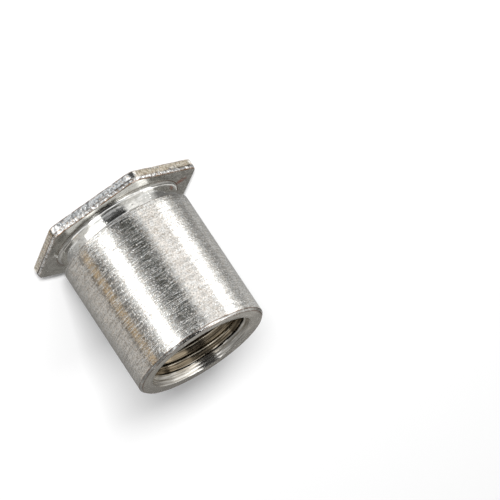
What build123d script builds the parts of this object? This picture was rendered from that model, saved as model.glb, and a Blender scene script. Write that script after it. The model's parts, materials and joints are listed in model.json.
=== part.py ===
from build123d import *
import os
from math import radians, tan

# Blind self-clinching standoff, standing on its hexagonal head.
# Z = 0 is the closed face of the head, and +Z runs up the barrel and out of the tapped mouth.
# Two flats of the hexagon face +Y and -Y. All lengths are in millimetres.

# Overall size
overall_length = 9.0
barrel_diameter = 7.6

# Hexagonal head, the broad end that is pressed into the sheet
across_flats = 8.9
head_thickness = 0.6
corner_radius = 0.65  # the six corners, seen from the end
closed_edge_radius = 0.08  # worn round by the sheet-metal press and the plating barrel
seat_edge_chamfer = 0.03  # edge of the face that bites into the sheet

# Clinching groove between the head and the barrel, which the sheet flows into
groove_diameter = 7.06
shoulder_height = 1.5  # where the groove ends and the full barrel starts
groove_fillet = 0.2
shoulder_chamfer = 0.03

# Open end of the barrel
rim_chamfer = 0.13

# Blind bore, drilled for an M6 x 0.5 thread
tap_drill_diameter = 5.5
bore_depth = 6.4  # full-diameter depth from the mouth
drill_point_angle = 118.0
countersink_diameter = 6.1
countersink_angle = 60.0

barrel_radius = barrel_diameter / 2
groove_radius = groove_diameter / 2


def hexagonal_head():
    """The head: a hexagon with rounded corners, softer on its closed face than on its seat face."""
    outline = RegularPolygon(across_flats / 2, 6, major_radius=False)
    outline = fillet(outline.vertices(), corner_radius)
    head = extrude(outline, head_thickness)
    head = fillet(head.edges().group_by(Axis.Z)[0], closed_edge_radius)
    return chamfer(head.edges().group_by(Axis.Z)[-1], seat_edge_chamfer)


def turned_shank():
    """The groove and the barrel above it, turned from one half-section about the Z axis."""
    section = make_face(
        Polyline(
            (0, head_thickness / 2),
            (groove_radius, head_thickness / 2),
            (groove_radius, shoulder_height),
            (barrel_radius - shoulder_chamfer, shoulder_height),
            (barrel_radius, shoulder_height + shoulder_chamfer),
            (barrel_radius, overall_length - rim_chamfer),
            (barrel_radius - rim_chamfer, overall_length),
            (0, overall_length),
            close=True,
        )
    )
    return revolve(Plane.XZ * section, Axis.Z)


def blind_bore():
    """The space cut by the tap drill, its point and the countersink."""
    bore_radius = tap_drill_diameter / 2
    mouth_radius = countersink_diameter / 2
    countersink_depth = (mouth_radius - bore_radius) / tan(radians(countersink_angle / 2))
    point_length = bore_radius / tan(radians(drill_point_angle / 2))
    bore_end = overall_length - bore_depth
    section = make_face(
        Polyline(
            (0, bore_end - point_length),
            (bore_radius, bore_end),
            (bore_radius, overall_length - countersink_depth),
            (mouth_radius, overall_length),
            (0, overall_length),
            close=True,
        )
    )
    return revolve(Plane.XZ * section, Axis.Z)


def standoff():
    """The whole standoff, one solid."""
    body = hexagonal_head() + turned_shank()
    groove_root = (
        body.edges()
        .filter_by(GeomType.CIRCLE)
        .filter_by(lambda edge: abs(edge.radius - groove_radius) < 0.001)
        .sort_by(Axis.Z)[0]
    )
    body = fillet(groove_root, groove_fillet)
    return body - blind_bore()


os.makedirs("parts", exist_ok=True)
export_step(standoff(), "parts/standoff.step")
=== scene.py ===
import json
import math

import bmesh
import bpy
from mathutils import Matrix, Vector, noise


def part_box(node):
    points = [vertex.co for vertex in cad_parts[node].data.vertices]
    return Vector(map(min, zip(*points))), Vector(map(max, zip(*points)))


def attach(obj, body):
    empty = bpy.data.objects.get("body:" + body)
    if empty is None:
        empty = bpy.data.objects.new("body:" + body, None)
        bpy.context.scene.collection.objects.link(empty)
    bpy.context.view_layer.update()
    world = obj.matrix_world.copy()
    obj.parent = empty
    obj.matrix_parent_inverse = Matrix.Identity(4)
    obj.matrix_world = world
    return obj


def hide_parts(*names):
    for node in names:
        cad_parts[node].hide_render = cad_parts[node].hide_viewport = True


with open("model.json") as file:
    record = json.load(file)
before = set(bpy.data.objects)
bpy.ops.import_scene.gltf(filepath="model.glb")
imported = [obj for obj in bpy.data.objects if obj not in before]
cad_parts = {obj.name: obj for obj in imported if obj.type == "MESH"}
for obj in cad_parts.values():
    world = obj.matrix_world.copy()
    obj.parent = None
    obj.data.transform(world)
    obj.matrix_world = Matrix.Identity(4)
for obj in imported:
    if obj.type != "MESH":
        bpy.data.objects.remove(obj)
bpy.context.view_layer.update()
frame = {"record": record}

# ---------------------------------------------------------------- sizes, in metres
MM = 0.001
MOUNTS = {mount["name"]: mount for mount in frame["record"]["mounts"]}
_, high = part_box("standoff")

LENGTH = high[2]
FLAT = high[1]  # centre to flat of the head
CORNER = high[0]  # centre to rounded corner of the head
HEAD = MOUNTS["clinch_groove"]["pos_m"][2]
GROOVE_R = MOUNTS["clinch_groove"]["dims"]["r_mm"] * MM
SHOULDER = HEAD + MOUNTS["clinch_groove"]["dims"]["length_mm"] * MM
BARREL_R = MOUNTS["barrel"]["dims"]["r_mm"] * MM
BORE_R = MOUNTS["thread"]["dims"]["r_mm"] * MM
BORE_TOP = MOUNTS["thread"]["pos_m"][2]  # where the countersink ends
BORE_END = BORE_TOP - MOUNTS["thread"]["dims"]["length_mm"] * MM
COUNTERSINK = math.radians(60)
MOUTH_R = BORE_R + (LENGTH - BORE_TOP) * math.tan(COUNTERSINK / 2)
POINT_ANGLE = math.radians(118)
COS30 = math.cos(math.radians(30))
CORNER_R = (FLAT / COS30 - CORNER) / (1 / COS30 - 1)  # rounding of the six corners

# edge breaks and fillets, from the closed face up
CLOSED_EDGE = 0.08 * MM
SEAT_EDGE = 0.03 * MM
GROOVE_FILLET = 0.2 * MM
NECK_TOP_FILLET = 0.05 * MM
SHOULDER_EDGE = 0.03 * MM
RIM_CHAMFER = 0.13 * MM
RIM_SOFTENING = 0.03 * MM  # how far the edges of the rim's chamfer and of the mouth are rounded
MOUTH_DROP = 0.008 * MM  # how far the edge of the mouth lies below the end face

SEAT_STRIP = 0.2 * MM  # height of the strip at the top of the head's side that leans inward
SEAT_LEAN = 0.035 * MM

PITCH = 0.5 * MM
THREAD_DEPTH = 0.25 * MM
THREAD_END = BORE_END + 1.2 * MM
THREAD_RUNOUT = 1.5 * PITCH  # over this height the last turns fade out
THREAD_PHASE = 0.1
# (share of the pitch, share of the depth) up one pitch: rounded crest, flank, root, and back to the crest
THREAD_PROFILE = [
    (0, 0.2), (0.03, 0), (0.1, 0.03), (0.17, 0.11), (0.24, 0.21),
    (0.8, 1), (0.9, 1), (1, 0.2),
]
CREST_HIGHLIGHT = 0.1  # where in the pitch the painted highlight along the crest runs
# (distance from the mouth, share of the depth): the tap's lead leaves the first turns shallow
THREAD_LEAD = [(0.38 * MM, 0), (0.55 * MM, 0.5), (1.4 * MM, 0.55), (2.4 * MM, 1)]

# two fine grooves that the tool left round the countersink, by distance from the mouth
TOOL_MARKS = [0.17 * MM, 0.31 * MM]
TOOL_MARK_DEPTH = 0.014 * MM
TOOL_MARK_WIDTH = 0.03 * MM

# dents all round the head's sides and the rim: the sizes of the noise that sets them out, and their depths
DENT_FINE, DENT_COARSE = 0.22 * MM, 0.6 * MM
HEAD_DENT = 0.006 * MM
HEAD_EDGE_DENT = 0.013 * MM  # as much again at the head's edges
HEAD_EDGE_WIDTH = 0.12 * MM
RIM_DENT = 0.018 * MM

BURR = (3.41 * MM, -1.64 * MM)  # a curl of metal left standing on the seat
BURR_HEIGHT, BURR_R = 0.16 * MM, 0.12 * MM
CHIP_SIZE = 0.26 * MM  # the raw metal round the burr
STAIN = (-3.97 * MM, 0.4 * MM)  # red-brown spot on the seat beside the groove
STAIN_SIZE = 0.36 * MM
CORNER_STAIN = (3.13 * MM, -3.57 * MM)  # a paler one at a corner
CORNER_STAIN_SIZE = 0.5 * MM

# how finely the surfaces are divided
COLUMNS = 480
THREAD_COLUMNS = 240
ROWS_PER_PITCH = 14
SHARPEST_SMOOTH = math.radians(28)  # edges that bend more than this stay sharp

REGIONS = ["face", "side", "seat", "neck", "barrel", "end", "bore"]


# ---------------------------------------------------------------- shape
def hexagon_radius(angle, inset=0.0):
    """Distance from the axis to the head's outline, moved in by inset."""
    flat, rounding = FLAT - inset, CORNER_R - inset
    centre = (flat - rounding) / COS30
    off = math.radians(abs((math.degrees(angle) + 30) % 60 - 30))  # from the nearest corner
    tangent = math.atan2(rounding * 0.5, centre + rounding * COS30)
    if off < tangent:
        return centre * math.cos(off) + math.sqrt(rounding**2 - (centre * math.sin(off)) ** 2)
    return flat / math.cos(math.radians(30) - off)


def arc(centre, radius, start, stop, steps):
    """Points (r, z) on an arc about centre; angles in degrees, 0 pointing outward and 90 up."""
    points = []
    for i in range(steps + 1):
        a = math.radians(start + (stop - start) * i / steps)
        points.append((centre[0] + radius * math.cos(a), centre[1] + radius * math.sin(a)))
    return points


class Skin:
    """Collects rings of vertices round the Z axis and the faces between them."""

    def __init__(self):
        self.mesh = bmesh.new()

    def ring(self, radius, z, columns=COLUMNS):
        """A ring at height z; radius is a number or a function of the angle."""
        made = []
        for i in range(columns):
            a = 2 * math.pi * i / columns
            r = radius(a) if callable(radius) else radius
            made.append(self.mesh.verts.new((r * math.cos(a), r * math.sin(a), z)))
        return made

    def face(self, corners, region):
        """One face, in the material of its region."""
        made = self.mesh.faces.new(corners)
        made.material_index = REGIONS.index(region)

    def band(self, lower, upper, region):
        """Quads between two rings with the same number of columns."""
        n = len(lower)
        for i in range(n):
            j = (i + 1) % n
            self.face((lower[i], lower[j], upper[j], upper[i]), region)

    def fan(self, ring, centre, region, flip=False):
        """Triangles from a ring to one vertex in its middle."""
        n = len(ring)
        for i in range(n):
            corners = (ring[i], ring[(i + 1) % n], centre)
            self.face(corners[::-1] if flip else corners, region)

    def halve(self, outer, inner, region):
        """Joins a ring to an inner one with half as many columns."""
        n = len(inner)
        m = len(outer)
        for i in range(n):
            a, b, c = outer[2 * i], outer[2 * i + 1], outer[(2 * i + 2) % m]
            d, e = inner[i], inner[(i + 1) % n]
            self.face((a, b, d), region)
            self.face((b, e, d), region)
            self.face((b, c, e), region)


# A row is (radius, z, region): a ring round the axis, and the region of the band that starts from it.
def hexagon_row(inset, z, region, share=1.0, added=0.0):
    """A row that follows the head's outline, moved in by inset, scaled by share and widened by added."""

    def radius(angle):
        return share * hexagon_radius(angle, inset) + added

    return radius, z, region


def head_rows():
    """Across the closed face, up the head's sides and in across the seat to the groove's fillet."""
    rows = [hexagon_row(CLOSED_EDGE, 0.0, "face", share) for share in (0.2, 0.4, 0.6, 0.8, 0.95)]
    rows.append(hexagon_row(CLOSED_EDGE, 0.0, "side"))
    for step in range(1, 5):
        a = math.radians(90 * step / 4)
        rows.append(hexagon_row(CLOSED_EDGE * (1 - math.sin(a)), CLOSED_EDGE * (1 - math.cos(a)), "side"))
    crease = HEAD - SEAT_STRIP
    for step in range(1, 7):
        rows.append(hexagon_row(0.0, CLOSED_EDGE + (crease - CLOSED_EDGE) * step / 6, "side"))
    for step in range(1, 5):
        z = crease + (SEAT_STRIP - SEAT_EDGE) * step / 4
        rows.append(hexagon_row(SEAT_LEAN * step / 4, z, "side"))
    rows.append(hexagon_row(SEAT_LEAN + SEAT_EDGE * 0.4, HEAD - SEAT_EDGE * 0.4, "side"))
    inset = SEAT_LEAN + SEAT_EDGE
    rows.append(hexagon_row(inset, HEAD, "seat"))
    for step in range(1, 17):
        t = math.sin(math.radians(90 * step / 16))
        rows.append(hexagon_row(inset, HEAD, "seat", 1 - t, t * (GROOVE_R + GROOVE_FILLET)))
    return rows


def neck_rows():
    """Up the groove, from its root fillet to the small fillet under the barrel."""
    low_centre = (GROOVE_R + GROOVE_FILLET, HEAD + GROOVE_FILLET)
    high_centre = (GROOVE_R + NECK_TOP_FILLET, SHOULDER - NECK_TOP_FILLET)
    rows = arc(low_centre, GROOVE_FILLET, 270, 180, 7)[1:]
    for step in range(1, 6):
        rows.append((GROOVE_R, low_centre[1] + (high_centre[1] - low_centre[1]) * step / 5))
    rows += arc(high_centre, NECK_TOP_FILLET, 180, 90, 4)[1:]
    return [(r, z, "neck") for r, z in rows]


def barrel_rows():
    """Up the barrel, from its shoulder to the chamfer of the rim."""
    shoulder_r = BARREL_R - SHOULDER_EDGE
    bottom, top = SHOULDER + SHOULDER_EDGE, LENGTH - RIM_CHAMFER
    rows = [(shoulder_r, SHOULDER)]
    rows += arc((shoulder_r, bottom), SHOULDER_EDGE, -90, 0, 4)[1:]
    for step in range(1, 25):
        rows.append((BARREL_R, bottom + (top - bottom) * step / 24))
    rows.append((BARREL_R - RIM_SOFTENING * 0.5, top + RIM_SOFTENING * 0.7))
    rows.append((BARREL_R - RIM_CHAMFER + RIM_SOFTENING * 0.7, LENGTH - RIM_SOFTENING * 0.5))
    return [(r, z, "barrel") for r, z in rows]


def end_rows():
    """In across the barrel's end face, to the edge of the mouth."""
    outer, inner = BARREL_R - RIM_CHAMFER, MOUTH_R + RIM_SOFTENING
    return [((1 - t) * outer + t * inner, LENGTH, "end") for t in (0, 0.2, 0.4, 0.6, 0.8, 1)]


def dent_depth(point, r):
    """How deep the surface is dented at a point, r from the axis: on the head's sides and the rim."""
    fine = noise.noise(point / DENT_FINE)
    coarse = noise.noise(point / DENT_COARSE + Vector((7, 3, 1)))
    if point.z < HEAD + SEAT_EDGE and r > 0.97 * hexagon_radius(math.atan2(point.y, point.x)):
        edge = min(abs(point.z - CLOSED_EDGE * 0.4), abs(point.z - (HEAD - SEAT_EDGE)))
        deepest = HEAD_DENT + HEAD_EDGE_DENT * max(0.0, 1 - edge / HEAD_EDGE_WIDTH)
        return deepest * max(0.0, fine + 0.5 * coarse)
    if abs(point.z - LENGTH) < 2 * RIM_CHAMFER and r > BARREL_R - 2 * RIM_CHAMFER:
        edge = math.hypot(r - BARREL_R, point.z - (LENGTH - RIM_CHAMFER))
        return RIM_DENT * max(0.0, 1 - edge / RIM_CHAMFER) * max(0.0, fine + 0.4 * coarse)
    return 0.0


def wear(point):
    """Moves a point of the surface in for the dents, and up where the burr stands on the seat."""
    r = math.hypot(point.x, point.y)
    depth = dent_depth(point, r)
    if depth:
        point.x -= depth * point.x / r
        point.y -= depth * point.y / r
    if abs(point.z - HEAD) < 0.01 * MM:
        off = math.hypot(point.x - BURR[0], point.y - BURR[1])
        point.z += BURR_HEIGHT * math.exp(-((off / BURR_R) ** 2))


def along(profile, x):
    """The height at x of a profile made of (x, height) corners."""
    for (x0, y0), (x1, y1) in zip(profile, profile[1:]):
        if x < x1:
            return y0 + (y1 - y0) * max(0.0, x - x0) / (x1 - x0)
    return profile[-1][1]


def bore_radius(z, angle):
    """Radius of the bore's wall: the countersink, the helical thread and the plain drilled end."""
    cone = BORE_R + max(0.0, z - BORE_TOP) * math.tan(COUNTERSINK / 2)
    for mark in TOOL_MARKS:
        cone += TOOL_MARK_DEPTH * math.exp(-(((LENGTH - z - mark) / TOOL_MARK_WIDTH) ** 2))
    turn = (z / PITCH - angle / (2 * math.pi) + THREAD_PHASE) % 1.0
    grown = along(THREAD_LEAD, LENGTH - z) * min(1.0, max(0.0, (z - THREAD_END) / THREAD_RUNOUT))
    return max(cone, BORE_R + THREAD_DEPTH * along(THREAD_PROFILE, turn) * grown)


def bore_wall(skin, mouth, bottom):
    """The wall between two rings, as a grid that climbs a pitch each turn and so follows the thread."""
    step = PITCH / ROWS_PER_PITCH
    count = math.ceil((LENGTH - BORE_END) / step) + ROWS_PER_PITCH + 1
    grid = []
    for i in range(THREAD_COLUMNS):
        angle = 2 * math.pi * i / THREAD_COLUMNS
        column = []
        for j in range(count):
            z = LENGTH + PITCH * angle / (2 * math.pi) - j * step
            if z > LENGTH - step * 0.4:
                column.append(mouth[i])
            elif z < BORE_END + step * 0.4:
                column.append(bottom[i])
            else:
                r = bore_radius(z, angle)
                column.append(skin.mesh.verts.new((r * math.cos(angle), r * math.sin(angle), z)))
        grid.append(column)

    def vertex(i, j):
        """The grid's vertex; the column after the last is the first one, a pitch lower."""
        if i == THREAD_COLUMNS:
            i, j = 0, j - ROWS_PER_PITCH
        if j < 0:
            return mouth[i]
        return grid[i][min(j, count - 1)]

    for i in range(THREAD_COLUMNS):
        for j in range(count + ROWS_PER_PITCH):
            corners = [vertex(i, j), vertex(i + 1, j), vertex(i + 1, j + 1), vertex(i, j + 1)]
            unique = [v for k, v in enumerate(corners) if v is not corners[k - 1]]
            if len(set(unique)) >= 3:
                skin.face(unique, "bore")


def drill_point(skin, ring):
    """The cone that the drill's point left at the bottom of the bore."""
    depth = BORE_R / math.tan(POINT_ANGLE / 2)
    for share in (0.25, 0.5, 0.75):
        lower = skin.ring(BORE_R * (1 - share), BORE_END - depth * share, THREAD_COLUMNS)
        skin.band(ring, lower, "bore")
        ring = lower
    skin.fan(ring, skin.mesh.verts.new((0, 0, BORE_END - depth)), "bore")


def standoff_mesh():
    """The whole standoff as one closed mesh."""
    skin = Skin()
    rows = head_rows() + neck_rows() + barrel_rows() + end_rows()
    previous = skin.ring(rows[0][0], rows[0][1])
    skin.fan(previous, skin.mesh.verts.new((0, 0, 0)), "face", flip=True)
    for number, (radius, z, _) in enumerate(rows[1:]):
        ring = skin.ring(radius, z)
        skin.band(previous, ring, rows[number][2])
        previous = ring
    mouth = skin.ring(MOUTH_R, LENGTH - MOUTH_DROP, THREAD_COLUMNS)
    skin.halve(previous, mouth, "end")
    bottom = skin.ring(BORE_R, BORE_END, THREAD_COLUMNS)
    bore_wall(skin, mouth, bottom)
    drill_point(skin, bottom)
    mesh = skin.mesh
    for vertex in mesh.verts:
        wear(vertex.co)
    bmesh.ops.recalc_face_normals(mesh, faces=mesh.faces)
    for edge in mesh.edges:
        edge.smooth = edge.calc_face_angle(0.0) < SHARPEST_SMOOTH
    for face in mesh.faces:
        face.smooth = True
    data = bpy.data.meshes.new("standoff_body")
    mesh.to_mesh(data)
    mesh.free()
    return data


# ---------------------------------------------------------------- materials
class Nodes:
    """Short calls for building the node tree of a material or world."""

    def __init__(self, owner):
        owner.use_nodes = True
        self.tree = owner.node_tree
        self.tree.nodes.clear()

    def add(self, kind, inputs=None, **settings):
        """A node with its settings; an input is a plain value or another node's output."""
        node = self.tree.nodes.new(kind)
        for name, value in settings.items():
            setattr(node, name, value)
        for name, value in (inputs or {}).items():
            if isinstance(value, bpy.types.NodeSocket):
                self.tree.links.new(value, node.inputs[name])
            else:
                node.inputs[name].default_value = value
        return node

    def output(self, shader, kind="ShaderNodeOutputMaterial"):
        """Makes a shader node the one that is used."""
        out = self.add(kind)
        self.tree.links.new(shader.outputs[0], out.inputs[0])

    def math(self, operation, a, b=0.0, clamp=False):
        return self.add("ShaderNodeMath", {0: a, 1: b}, operation=operation, use_clamp=clamp).outputs[0]

    def times(self, a, b):
        return self.math("MULTIPLY", a, b)

    def total(self, *values):
        """The sum of several values."""
        result = values[0]
        for value in values[1:]:
            result = self.math("ADD", result, value)
        return result

    def position(self, scale):
        """The point on the object in millimetres, stretched by scale."""
        where = self.add("ShaderNodeTexCoord").outputs["Object"]
        factors = [factor / MM for factor in scale]
        return self.add("ShaderNodeVectorMath", {0: where, 1: factors}, operation="MULTIPLY").outputs[0]

    def noise(self, scale, detail=2.0):
        """Noise with that many waves a millimetre along each axis."""
        inputs = {"Vector": self.position(scale), "Scale": 1.0, "Detail": detail}
        return self.add("ShaderNodeTexNoise", inputs).outputs["Fac"]

    def ramp(self, value, low, high, bottom=0.0, top=1.0):
        """Goes straight from bottom, where value is low, to top, where it is high."""
        inputs = {0: value, 1: low, 2: high, 3: bottom, 4: top}
        return self.add("ShaderNodeMapRange", inputs).outputs[0]

    def steep(self, value, low, high):
        """Goes from 0, where value is low, to 1, where it is high, with rounded ends."""
        inputs = {0: value, 1: low, 2: high, 3: 0.0, 4: 1.0}
        return self.add("ShaderNodeMapRange", inputs, interpolation_type="SMOOTHSTEP").outputs[0]

    def pits(self, scale, low, high):
        """Flat apart from scattered spots, which are steep sided."""
        return self.steep(self.noise(scale, detail=1), low, high)

    def dots(self, scale, share):
        """Round dots in that share of the cells of an irregular grid."""
        inputs = {"Vector": self.position(scale), "Scale": 1.0}
        cells = self.add("ShaderNodeTexVoronoi", inputs)
        disc = self.steep(cells.outputs["Distance"], 0.42, 0.2)
        chance = self.add("ShaderNodeSeparateColor", {0: cells.outputs["Color"]}).outputs[0]
        return self.times(disc, self.ramp(chance, 1 - share, 1 - share + 0.05))

    def apart(self):
        """The point's own coordinates in millimetres."""
        return self.add("ShaderNodeSeparateXYZ", {0: self.position((1, 1, 1))}).outputs

    def height(self):
        """Height above the closed face, in millimetres."""
        return self.apart()[2]

    def distance(self, x, y):
        """The length of a level step of x and y."""
        return self.math("SQRT", self.math("ADD", self.times(x, x), self.times(y, y)))

    def radius(self):
        """Distance from the axis, in millimetres."""
        x, y, _ = self.apart()
        return self.distance(x, y)

    def spot(self, centre, size):
        """1 at a place on a level face, falling raggedly to 0 at size; centre and size in metres."""
        size = size / MM
        x, y, _ = self.apart()
        across = self.math("SUBTRACT", x, centre[0] / MM)
        along = self.math("SUBTRACT", y, centre[1] / MM)
        ragged = self.ramp(self.noise((5, 5, 5)), 0.3, 0.7, -size / 2, size / 2)
        away = self.math("ADD", self.distance(across, along), ragged)
        return self.ramp(away, 0.2 * size, size, 1.0, 0.0)

    def line(self, value, centre, width):
        """1 on a thin uneven line where value is near centre, falling to 0 at width."""
        away = self.math("ABSOLUTE", self.math("SUBTRACT", value, centre))
        uneven = self.ramp(self.noise((2, 2, 2)), 0.35, 0.55, 0.4, 1.0)
        return self.times(self.ramp(away, width * 0.4, width, 1.0, 0.0), uneven)

    def either(self, *values):
        """The largest of several values."""
        result = values[0]
        for value in values[1:]:
            result = self.math("MAXIMUM", result, value)
        return result

    def mix(self, share, first, second, mode="MIX"):
        """The first colour with that share of the second mixed in."""
        node = self.add("ShaderNodeMix", data_type="RGBA", blend_type=mode)
        for name, value in zip(("Factor_Float", "A_Color", "B_Color"), (share, first, second)):
            socket = next(s for s in node.inputs if s.identifier == name)
            if isinstance(value, bpy.types.NodeSocket):
                self.tree.links.new(value, socket)
            else:
                socket.default_value = value if name == "Factor_Float" else (*value, 1.0)
        return next(s for s in node.outputs if s.identifier == "Result_Color")


def metal(name, colour, roughness, bump, anisotropic=0.0):
    """A metal; colour, roughness and bump take the node builder, and bump gives height and depth."""
    material = bpy.data.materials.new(name)
    nodes = Nodes(material)
    shader = nodes.add("ShaderNodeBsdfPrincipled")
    shader.inputs["Metallic"].default_value = 1.0
    shader.inputs["Anisotropic"].default_value = anisotropic
    for socket, value in (("Base Color", colour(nodes)), ("Roughness", roughness(nodes))):
        nodes.tree.links.new(value, shader.inputs[socket])
    height, distance = bump(nodes)
    bumped = nodes.add("ShaderNodeBump", {"Strength": 1.0, "Distance": distance, "Height": height})
    nodes.tree.links.new(bumped.outputs[0], shader.inputs["Normal"])
    if anisotropic:
        tangent = nodes.add("ShaderNodeTangent", direction_type="RADIAL", axis="Z")
        nodes.tree.links.new(tangent.outputs[0], shader.inputs["Tangent"])
        shader.inputs["Anisotropic Rotation"].default_value = 0.25
    nodes.output(shader)
    return material


# dark brown for thin rings at edges; at the barrel's rim these rings are painted shade
DARK_BROWN = (0.22, 0.12, 0.07)
RED_RUST = (0.55, 0.22, 0.14)
# the colour of the painted shade on one side of the end face
SIDE_SHADE = (0.3, 0.285, 0.26)
RAW = (0.98, 0.97, 0.94)


def barrel_material():
    """Turned bar under bright zinc: streaks round the barrel, dots, painted shade as dark brown lines at
    the rim's two edges, and a fainter dark brown line at the shoulder.
    """

    def colour(n):
        streaks = n.ramp(n.noise((0.8, 0.8, 12)), 0.38, 0.62, 0.0, 0.45)
        grain = n.ramp(n.noise((10, 10, 12), detail=1), 0.4, 0.6, 0.0, 0.45)
        clouds = n.ramp(n.noise((1.1, 1.1, 1.6)), 0.35, 0.65, 0.0, 0.2)
        zinc = n.mix(n.total(streaks, grain, clouds), (0.49, 0.485, 0.47), (0.89, 0.885, 0.87))
        tint = n.mix(n.ramp(n.noise((5, 5, 7)), 0.4, 0.6), (1.0, 0.98, 0.955), (0.975, 0.99, 1.0))
        zinc = n.mix(1.0, zinc, tint, "MULTIPLY")
        freckles = n.times(n.pits((9, 9, 10), 0.58, 0.68), 0.6)
        zinc = n.mix(freckles, zinc, (0.36, 0.31, 0.25))
        # painted shade: dark brown lines at both edges of the rim's chamfer; the shoulder line is fainter
        chamfer = n.line(n.height(), (LENGTH - RIM_CHAMFER) / MM, 0.035)
        rim = n.line(n.height(), LENGTH / MM, 0.03)
        shoulder = n.times(n.line(n.height(), SHOULDER / MM + 0.01, 0.03), 0.6)
        return n.mix(n.times(n.either(chamfer, rim, shoulder), 0.75), zinc, DARK_BROWN)

    def roughness(n):
        return n.ramp(n.noise((1.0, 1.0, 9)), 0.3, 0.7, 0.14, 0.24)

    def bump(n):
        lines = n.times(n.noise((0.5, 0.5, 10)), 0.8)
        cuts = n.times(n.pits((0.7, 0.7, 12), 0.54, 0.64), 1.5)
        specks = n.times(n.pits((10, 10, 11), 0.58, 0.68), 0.7)
        dots = n.times(n.dots((7.5, 7.5, 8), 0.3), 1.1)
        return n.total(lines, cuts, specks, dots), 0.005 * MM

    return metal("barrel_turned", colour, roughness, bump, 0.5)


def neck_material():
    """The groove below the barrel, bright because no wear reaches it."""

    def colour(n):
        clouds = n.ramp(n.noise((5, 5, 9)), 0.35, 0.65)
        return n.mix(clouds, (0.68, 0.68, 0.66), (0.86, 0.855, 0.835))

    def roughness(n):
        return n.ramp(n.noise((2, 2, 8)), 0.3, 0.7, 0.08, 0.15)

    def bump(n):
        lines = n.times(n.noise((0.4, 0.4, 11), detail=1), 0.25)
        return n.total(lines, n.dots((4.5, 4.5, 6), 0.25)), 0.005 * MM

    return metal("clinching_groove", colour, roughness, bump, 0.3)


def rings(n, fine):
    """Noise in fine rings about the axis, with that many a millimetre, uneven along their length."""
    x, y, _ = n.apart()
    parts = {0: n.times(n.radius(), fine), 1: n.times(x, 0.9), 2: n.times(y, 0.9)}
    place = n.add("ShaderNodeCombineXYZ", parts).outputs[0]
    return n.add("ShaderNodeTexNoise", {"Vector": place, "Scale": 1.0, "Detail": 2}).outputs["Fac"]


def faced_material(name, low, high, rough, relief, marks=(), chip=None):
    """A face turned across the end of the bar.

    Its colour lies between low and high; marks are (mask, colour) pairs, stains and painted shade among
    them, and chip is a place left raw.
    """

    def colour(n):
        turned = n.ramp(rings(n, 9), 0.36, 0.64, 0.0, 0.5)
        grain = n.ramp(n.noise((8, 8, 8)), 0.36, 0.64, 0.0, 0.25)
        clouds = n.ramp(n.noise((1.5, 1.5, 1.5)), 0.4, 0.6, 0.0, 0.25)
        base = n.mix(n.total(turned, grain, clouds), low, high)
        for stain_and_shade_mask, tone in marks:
            base = n.mix(stain_and_shade_mask(n), base, tone)
        if chip:
            base = n.mix(n.spot(chip, CHIP_SIZE), base, RAW)
        return base

    def roughness(n):
        value = n.ramp(n.noise((5, 5, 5)), 0.3, 0.7, rough - 0.06, rough + 0.06)
        if chip:
            value = n.either(value, n.times(n.spot(chip, CHIP_SIZE), 0.5))
        return value

    def bump(n):
        grain = n.times(n.noise((9, 9, 9)), 0.5)
        return n.total(rings(n, 8), grain, n.dots((4, 4, 4), 0.25)), relief * MM

    return metal(name, colour, roughness, bump)


def seat_marks(n):
    """A brown ring where the groove starts, and a faint spot."""
    pale = n.times(n.spot(CORNER_STAIN, CORNER_STAIN_SIZE), 0.4)
    return n.either(n.line(n.radius(), (GROOVE_R + GROOVE_FILLET) / MM, 0.04), pale)


def seat_rust(n):
    """One spot of red rust."""
    return n.times(n.spot(STAIN, STAIN_SIZE), 0.9)


def end_edge(n):
    """A brown ring at the outer edge."""
    return n.line(n.radius(), (BARREL_R - RIM_CHAMFER) / MM, 0.045)


def end_side_shade(n):
    """Painted shade: a darker patch that covers the side towards +X and +Y."""
    x, y, _ = n.apart()
    return n.ramp(n.math("ADD", x, y), -4.5, 4.5, 0.0, 0.75)


def closed_face_material():
    return faced_material("closed_face", (0.55, 0.54, 0.51), (0.8, 0.79, 0.76), 0.34, 0.005)


def seat_material():
    marks = ((seat_marks, DARK_BROWN), (seat_rust, RED_RUST))
    return faced_material("seat_face", (0.45, 0.435, 0.4), (0.82, 0.81, 0.765), 0.24, 0.004, marks, BURR)


def end_material():
    # painted shade over the end face's side towards +X and +Y, and a dark brown ring at its outer edge
    marks = ((end_side_shade, SIDE_SHADE), (end_edge, DARK_BROWN))
    return faced_material("end_face", (0.52, 0.505, 0.47), (0.99, 0.97, 0.92), 0.24, 0.009, marks)


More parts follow.
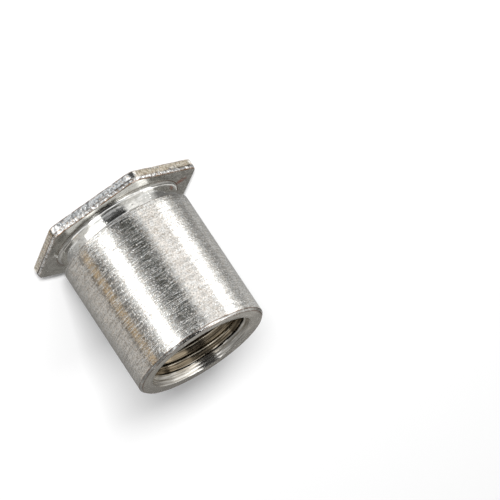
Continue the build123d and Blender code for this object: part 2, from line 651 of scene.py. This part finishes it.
def side_material():
    """The flats of the bar: drawn skin, tan in places, with chatter marks and brown lines at the edges."""

    def colour(n):
        x, y, z = n.apart()
        chatter = n.ramp(n.noise((7, 7, 6)), 0.38, 0.56)
        bright = n.mix(chatter, (0.34, 0.345, 0.35), (0.98, 0.99, 0.99))
        tan = n.mix(chatter, (0.5, 0.46, 0.38), (0.84, 0.79, 0.7))
        # tan lies below the crease, and hardly at all on the flat towards -Y
        crease = (HEAD - SEAT_STRIP) / MM
        below = n.ramp(z, crease, crease + 0.05, 1.0, 0.0)
        flat_y = n.ramp(y, -FLAT / MM + 0.05, -FLAT / MM + 0.35, 1.0, 0.0)
        tan_part = n.times(below, n.ramp(flat_y, 0.0, 1.0, 0.9, 0.1))
        blotch = n.ramp(n.noise((1.3, 1.3, 5)), 0.32, 0.5)
        base = n.mix(n.times(blotch, tan_part), bright, tan)
        brown_pits = n.times(n.pits((7, 7, 8), 0.58, 0.66), 0.6)
        base = n.mix(brown_pits, base, (0.5, 0.36, 0.25))
        # the flats towards +X have a fainter line at the seat and a stronger one at the crease
        seat_line = n.times(n.line(z, HEAD / MM - 0.01, 0.06), n.ramp(x, 2.2, 3.0, 1.0, 0.25))
        base = n.mix(seat_line, base, (0.36, 0.2, 0.1))
        crease_line = n.times(n.line(z, crease, 0.05), n.ramp(x, 2.2, 3.0, 0.5, 0.9))
        bottom_line = n.line(z, 0.02, 0.06)
        return n.mix(n.either(crease_line, bottom_line), base, (0.15, 0.1, 0.07))

    def roughness(n):
        return n.ramp(n.noise((5, 5, 9)), 0.3, 0.7, 0.12, 0.22)

    def bump(n):
        chatter = n.pits((5, 5, 4), 0.48, 0.6)
        grain = n.times(n.noise((9, 9, 12), detail=1), 0.3)
        return n.total(chatter, grain, n.dots((5, 5, 5), 0.3)), 0.005 * MM

    return metal("bar_flats", colour, roughness, bump)


def bore_material():
    """The tapped hole: steel colour in the countersink, and below it painted shade, brown and darker with
    depth.
    """

    def thread_turn(n):
        """How far up its pitch the thread has got, as a share."""
        x, y, z = n.apart()
        angle = n.math("DIVIDE", n.math("ARCTAN2", y, x), 2 * math.pi)
        turns = n.math("SUBTRACT", n.math("DIVIDE", z, PITCH / MM), angle)
        return n.math("FRACT", n.math("ADD", turns, THREAD_PHASE))

    def colour(n):
        depth = n.math("SUBTRACT", LENGTH / MM, n.height())
        lines = n.ramp(n.noise((0.4, 0.4, 13)), 0.38, 0.6)
        bright = n.mix(lines, (0.46, 0.43, 0.38), (0.9, 0.88, 0.84))
        brown = n.mix(lines, (0.05, 0.038, 0.024), (0.32, 0.265, 0.19))
        # painted shade: brown below the countersink, darker again deeper down
        base = n.mix(n.ramp(depth, 0.45, 0.6), bright, brown)
        base = n.mix(n.ramp(depth, 0.8, 2.2, 0.0, 0.5), base, (0.1, 0.08, 0.055))
        # painted highlight: a lighter line along the thread's crest
        return n.mix(n.line(thread_turn(n), CREST_HIGHLIGHT, 0.12), base, (0.46, 0.42, 0.35))

    def roughness(n):
        return n.ramp(n.noise((2, 2, 9)), 0.3, 0.7, 0.12, 0.22)

    def bump(n):
        lines = n.times(n.noise((0.3, 0.3, 14)), 1.2)
        grain = n.times(n.noise((5, 5, 12)), 0.5)
        return n.total(lines, grain), 0.003 * MM

    return metal("bore_tapped", colour, roughness, bump)


# ---------------------------------------------------------------- the standoff
body = bpy.data.objects.new("standoff_body", standoff_mesh())
bpy.context.scene.collection.objects.link(body)
# in the order of REGIONS
for material in (
    closed_face_material(),
    side_material(),
    seat_material(),
    neck_material(),
    barrel_material(),
    end_material(),
    bore_material(),
):
    body.data.materials.append(material)
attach(body, "root")
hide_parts("standoff")


# ---------------------------------------------------------------- camera
AZIMUTH, ELEVATION, ROLL = math.radians(-5.8), math.radians(15.2), math.radians(146.3)
LENS = 360.0
SENSOR = 36.0
VIEW_WIDTH = 26.3 * MM  # what the frame spans at the object
# where the centre of the closed face sits in the frame, in widths from its centre
ORIGIN_RIGHT, ORIGIN_UP = -0.2775, 0.0719


def make_camera():
    """A far camera, rolled so that the standoff lies in the frame with its mouth to the lower right."""
    ahead = -math.cos(AZIMUTH) * math.cos(ELEVATION)
    outward = Vector((math.sin(AZIMUTH) * math.cos(ELEVATION), ahead, math.sin(ELEVATION)))
    level = Vector((math.cos(AZIMUTH), math.sin(AZIMUTH), 0))
    upward = outward.cross(level)
    right = math.cos(ROLL) * level + math.sin(ROLL) * upward
    up = math.cos(ROLL) * upward - math.sin(ROLL) * level
    aim = -VIEW_WIDTH * (ORIGIN_RIGHT * right + ORIGIN_UP * up)
    data = bpy.data.cameras.new("camera")
    data.lens = LENS
    data.sensor_width = SENSOR
    data.clip_start = 1 * MM
    data.clip_end = 5.0
    made = bpy.data.objects.new("camera", data)
    bpy.context.scene.collection.objects.link(made)
    place = Matrix.Translation(aim + outward * VIEW_WIDTH * LENS / SENSOR)
    made.matrix_world = place @ Matrix((right, up, outward)).transposed().to_4x4()
    return made


camera = make_camera()
bpy.context.scene.camera = camera


# ---------------------------------------------------------------- stage, in millimetres
# The metal mirrors cards that stand and lie round the object. Each is placed by where on the object it
# is to be seen. A turn is how far the surface there faces to the camera's right, in degrees, and a level
# is how bright the card is.
WHITE = (1, 1, 1)
GREY = (1, 0.99, 0.965)
WARM = (1, 0.95, 0.88)
TAN = (1, 0.8, 0.56)
FRONT_LEFT, FRONT, FRONT_RIGHT = -3, -2, -1  # the flats that the camera sees, counted from +X
CARD_GAP = 0.02  # between the table and a card that lies on it
NEAR_HEAD = (0.02, 2.2)  # how far from the head's side its reflections reach
NEAR_HEAD_GAP = 0.03
NEAR_NECK = (3.2, 5.4)
NEAR_NECK_GAP = 0.05
BACK_WALL_R = 46
# (height, level)
BACK_WALL_LEVELS = ((2, 0.12), (9, 0.12), (15, 0.22), (19, 0.25), (24, 0.42), (60, 0.42))
BORE_CARD_R = 30
BORE_CARD_HEIGHTS = (20, 32, 43.5)
OVERHEAD_HEIGHT = 44
OVERHEAD_REACH = 60
FLOOR_R = 1500
FLOOR_COLOUR = (0.86, 0.86, 0.86)
FLOOR_LIFT = 0.02  # light of its own that the floor shows, so that it comes out white
WORLD_LEVEL = 0.26  # what the world lights things with; seen, it is white
LAMP_DISTANCE = 2000


def bearing(turn):
    """Plan angle of a direction turned from the camera's, positive to the camera's right."""
    return math.radians(-90) + AZIMUTH + math.radians(turn)


def polar(radius, angle, centre=(0, 0)):
    """The point at a radius and plan angle from a centre."""
    return centre[0] + radius * math.cos(angle), centre[1] + radius * math.sin(angle)


def beyond(point, turn, distance):
    """Where a ray from the camera has got to, that far after a wall that faces this turn mirrors it."""
    return polar(distance, bearing(2 * turn), point)


def mirrored(turn, distance, radius, centre=(0, 0)):
    """The same for a round wall about a centre, from where the wall faces this turn."""
    return beyond(polar(radius, bearing(turn), centre), turn, distance)


def glow(name, colour):
    """Light of one colour, as strong as each vertex's level says."""
    material = bpy.data.materials.new(name)
    nodes = Nodes(material)
    level = nodes.add("ShaderNodeAttribute", attribute_name="level").outputs["Fac"]
    nodes.output(nodes.add("ShaderNodeEmission", {"Color": (*colour, 1.0), "Strength": level}))
    return material


def reflector(name, colour, grid):
    """A card made of rows of points (x, y, z, level), seen only in the metal."""
    data = bpy.data.meshes.new(name)
    wide = len(grid[0])
    points = [point for row in grid for point in row]
    faces = []
    for i in range(len(grid) - 1):
        for j in range(wide - 1):
            corner = i * wide + j
            faces.append((corner, corner + wide, corner + wide + 1, corner + 1))
    data.from_pydata([[v * MM for v in point[:3]] for point in points], [], faces)
    levels = data.attributes.new("level", "FLOAT", "POINT")
    for number, point in enumerate(points):
        levels.data[number].value = point[3]
    data.materials.append(glow(name, colour))
    piece = bpy.data.objects.new(name, data)
    bpy.context.scene.collection.objects.link(piece)
    piece.visible_camera = False
    piece.visible_diffuse = False
    piece.visible_shadow = False
    piece.visible_transmission = False


def steps_between(ends, pace):
    """Evenly spaced (share, value) from the first end to the last, about pace apart."""
    count = max(2, round((ends[1] - ends[0]) / pace))
    return [(i / count, ends[0] + (ends[1] - ends[0]) * i / count) for i in range(count + 1)]


def card(name, turns, colour, levels, top=3, wall=1):
    """What the barrel mirrors between two turns: a strip along the table, then a wall up to a height top.

    Along the turns the level goes from the first to the last of levels; the wall is wall times as bright.
    """
    profile = [(distance, CARD_GAP, 1) for distance in (5.2, 12, 20, 33)]
    profile += [(36, 2.5, wall), (38, top, wall)]
    grid = []
    for share, turn in steps_between(turns, 2):
        level = levels[0] + (levels[-1] - levels[0]) * share
        grid.append([(*mirrored(turn, distance, BARREL_R / MM), z, level * times)
                     for distance, z, times in profile])
    reflector(name, colour, grid)


def back_wall(name, turns, colour):
    """A curved wall behind the object, as the faces across the axis mirror it: paler upward."""
    grid = []
    for _, turn in steps_between(turns, 5):
        place = polar(BACK_WALL_R, bearing(turn))
        grid.append([(*place, z, level) for z, level in BACK_WALL_LEVELS])
    reflector(name, colour, grid)


def near_card(name, turns, colour, levels, radius, centre, reach, gap):
    """A strip just above the table, between two turns of a round wall and two distances from it."""
    grid = []
    for share, turn in steps_between(turns, 2):
        level = levels[0] + (levels[-1] - levels[0]) * share
        grid.append([(*mirrored(turn, distance, radius, centre), gap, level) for distance in reach])
    reflector(name, colour, grid)


def neck_card(name, turns, levels):
    """What the groove mirrors between two turns of it."""
    near_card(name, turns, GREY, levels, GROOVE_R / MM, (0, 0), NEAR_NECK, NEAR_NECK_GAP)


def corner(number):
    """Centre of rounding of one of the head's corners, counted from +X."""
    return polar((FLAT - CORNER_R) / COS30 / MM, math.radians(60 * number))


def flat_turn(number):
    """The turn that the flat from one corner to the next faces."""
    return 60 * number + 30 + 90 - math.degrees(AZIMUTH)


def head_flat(name, number, colour, level):
    """What one flat of the head mirrors: the table beside it, from that corner to the next."""
    turn = flat_turn(number)
    grid = []
    for end in (number, number + 1):
        edge = polar(CORNER_R / MM, bearing(turn), corner(end))
        grid.append([(*beyond(edge, turn, distance), NEAR_HEAD_GAP, level) for distance in NEAR_HEAD])
    reflector(name, colour, grid)


def head_corner(name, number, shares, colour, level):
    """What part of a rounded corner mirrors; shares run from the flat before it to the flat after it."""
    start = flat_turn(number - 1)
    turns = [start + 60 * share for share in shares]
    near_card(name, turns, colour, (level,), CORNER_R / MM, corner(number), NEAR_HEAD, NEAR_HEAD_GAP)


def bore_card(name, turns, level):
    """What the far wall of the bore mirrors between two turns: a raised wall on the camera's side."""
    grid = []
    for _, turn in steps_between(turns, 3):
        place = polar(BORE_CARD_R, bearing(-2 * turn))
        grid.append([(*place, z, level) for z in BORE_CARD_HEIGHTS])
    reflector(name, GREY, grid)


def overhead(name, sides, colour, level):
    """A strip above the object, running away from the camera, between two distances to its right."""
    grid = []
    for across in sides:
        beside = polar(across, bearing(90))
        ends = [polar(reach, bearing(180), beside) for reach in (-OVERHEAD_REACH, OVERHEAD_REACH)]
        grid.append([(*end, OVERHEAD_HEIGHT, level) for end in ends])
    reflector(name, colour, grid)


# what the barrel mirrors, from its left edge to its right
card("card_edge_left", (-90, -65), GREY, (0.35, 0.59), 6, 2)
card("card_shade_left", (-65, -57), GREY, (0.34,), 6, 3.5)
card("card_rise_left", (-57, -46.5), GREY, (0.35, 1.18), 6, 1.7)
card("card_bright_left", (-46.5, -35.7), WHITE, (2.2,), 40)
card("card_pale", (-35.7, -18.8), (1, 0.965, 0.93), (0.96, 1.24), 5)
card("card_fall", (-18.8, -12.3), GREY, (0.92, 0.12))
card("card_dark", (-12.3, -0.5), (0.98, 1, 0.92), (0.1, 0.12))
card("card_rise", (-0.5, 9.7), GREY, (0.13, 0.98), 12)
card("card_bright_right", (9.7, 20), WHITE, (2.6,), 40)
card("card_fade", (20, 28), GREY, (1.1, 0.22), 5)
card("card_shade_right", (28, 34), GREY, (0.21,))
card("card_tan", (34, 41.5), (1, 0.77, 0.5), (0.52, 0.56))
card("card_line", (41.5, 45), WARM, (0.17,))
card("card_grey_right", (45, 62), (1, 0.95, 0.89), (0.6,))
card("card_edge_right", (62, 90), (1, 0.975, 0.93), (0.48, 0.16), 12)
back_wall("wall_back", (85, 275), (1, 0.97, 0.92))

# the head's three near sides and the two corners between them
head_flat("head_flat_left", FRONT_LEFT, (1, 0.95, 0.86), 0.72)
head_flat("head_flat_front", FRONT, (0.96, 0.98, 1), 0.66)
head_flat("head_flat_right", FRONT_RIGHT, WARM, 0.5)
head_corner("head_corner_left_pale", FRONT, (0, 0.3), WHITE, 1.2)
head_corner("head_corner_left_dark", FRONT, (0.3, 0.72), GREY, 0.1)
head_corner("head_corner_left_bright", FRONT, (0.72, 1), WHITE, 1.2)
head_corner("head_corner_right_bright", FRONT_RIGHT, (0, 0.6), WHITE, 1.5)
head_corner("head_corner_right_dark", FRONT_RIGHT, (0.6, 0.76), GREY, 0.1)
head_corner("head_corner_right_brown", FRONT_RIGHT, (0.76, 1), TAN, 0.4)

# the groove, from left to right
for side, turns, levels in (
    ("edge_left", (-90, -48), (0.3, 0.16)),
    ("rise", (-48, -38), (0.16, 0.8)),
    ("pale", (-38, -16), (0.8, 1.2)),
    ("fall", (-16, -12), (1.2, 0.02)),
    ("dark", (-12, 8), (0.02,)),
    ("bright", (8, 30), (1.9,)),
    ("fade", (30, 55), (0.7, 0.3)),
    ("edge_right", (55, 90), (0.3, 0.22)),
):
    neck_card("neck_" + side, turns, levels)

# the countersink and the first turns of the thread
for side, turns, level in (
    ("edge_left", (-76, -50), 0.25),
    ("left", (-50, -32), 0.24),
    ("pale", (-32, -17), 0.42),
    ("shade", (-17, -9), 0.26),
    ("dark", (-9, 15), 0.04),
    ("bright", (15, 33), 1.35),
    ("right", (33, 50), 0.9),
    ("edge_right", (50, 76), 0.55),
):
    bore_card("bore_" + side, turns, level)

# the groove's fillet and the rim's chamfer, which face half upward
overhead("above_left", (-60, -24), GREY, 0.2)
overhead("above_bright_left", (-24, -11), WHITE, 2.0)
overhead("above_dark", (-11, 12), GREY, 0.04)
overhead("above_bright_right", (12, 17), WHITE, 1.5)
overhead("above_right", (17, 60), GREY, 0.2)


def shown(nodes):
    """1 for the camera and for what metal or glass shows, 0 for the light that falls on things."""
    path = nodes.add("ShaderNodeLightPath")
    seen = nodes.math("ADD", path.outputs["Is Camera Ray"], path.outputs["Is Glossy Ray"])
    return nodes.math("ADD", seen, path.outputs["Is Transmission Ray"], clamp=True)


def floor_material():
    """White paper, with a little light of its own where it is seen."""
    material = bpy.data.materials.new("floor_white")
    nodes = Nodes(material)
    paper = nodes.add("ShaderNodeBsdfDiffuse", {"Color": (*FLOOR_COLOUR, 1)})
    strength = nodes.times(shown(nodes), FLOOR_LIFT)
    lift = nodes.add("ShaderNodeEmission", {"Color": (1, 1, 1, 1), "Strength": strength})
    both = nodes.add("ShaderNodeAddShader")
    nodes.tree.links.new(paper.outputs[0], both.inputs[0])
    nodes.tree.links.new(lift.outputs[0], both.inputs[1])
    nodes.output(both)
    return material


def make_floor():
    """A wide round floor at the height of the closed face."""
    mesh = bmesh.new()
    bmesh.ops.create_circle(mesh, cap_ends=True, segments=96, radius=FLOOR_R * MM)
    data = bpy.data.meshes.new("floor")
    mesh.to_mesh(data)
    mesh.free()
    data.materials.append(floor_material())
    floor = bpy.data.objects.new("floor", data)
    bpy.context.scene.collection.objects.link(floor)


def make_world():
    """A world that is white where it is seen and lights things evenly, at a lower level."""
    world = bpy.data.worlds.new("studio")
    bpy.context.scene.world = world
    nodes = Nodes(world)
    strength = nodes.ramp(shown(nodes), 0.0, 1.0, WORLD_LEVEL, 1.0)
    background = nodes.add("ShaderNodeBackground", {"Color": (1, 1, 1, 1), "Strength": strength})
    nodes.output(background, "ShaderNodeOutputWorld")


def lamp(name, turn, elevation, size, power):
    """A soft light aimed at the middle of the standoff; the metal shows the cards in its place."""
    data = bpy.data.lights.new(name, "AREA")
    data.shape = "RECTANGLE"
    data.size = size[0] * MM
    data.size_y = size[1] * MM
    data.energy = power
    piece = bpy.data.objects.new(name, data)
    bpy.context.scene.collection.objects.link(piece)
    a, e = bearing(turn), math.radians(elevation)
    away = Vector((math.cos(a) * math.cos(e), math.sin(a) * math.cos(e), math.sin(e)))
    piece.location = Vector((0, 0, LENGTH / 2)) + away * LAMP_DISTANCE * MM
    piece.rotation_mode = "QUATERNION"
    piece.rotation_quaternion = away.to_track_quat("Z", "Y")
    piece.visible_glossy = False


make_floor()
make_world()
lamp("key_light", -3.1, 12.9, (260, 90), 142)
lamp("fill_light", -13, 23, (420, 300), 18)
bpy.context.scene.view_settings.view_transform = "Standard"
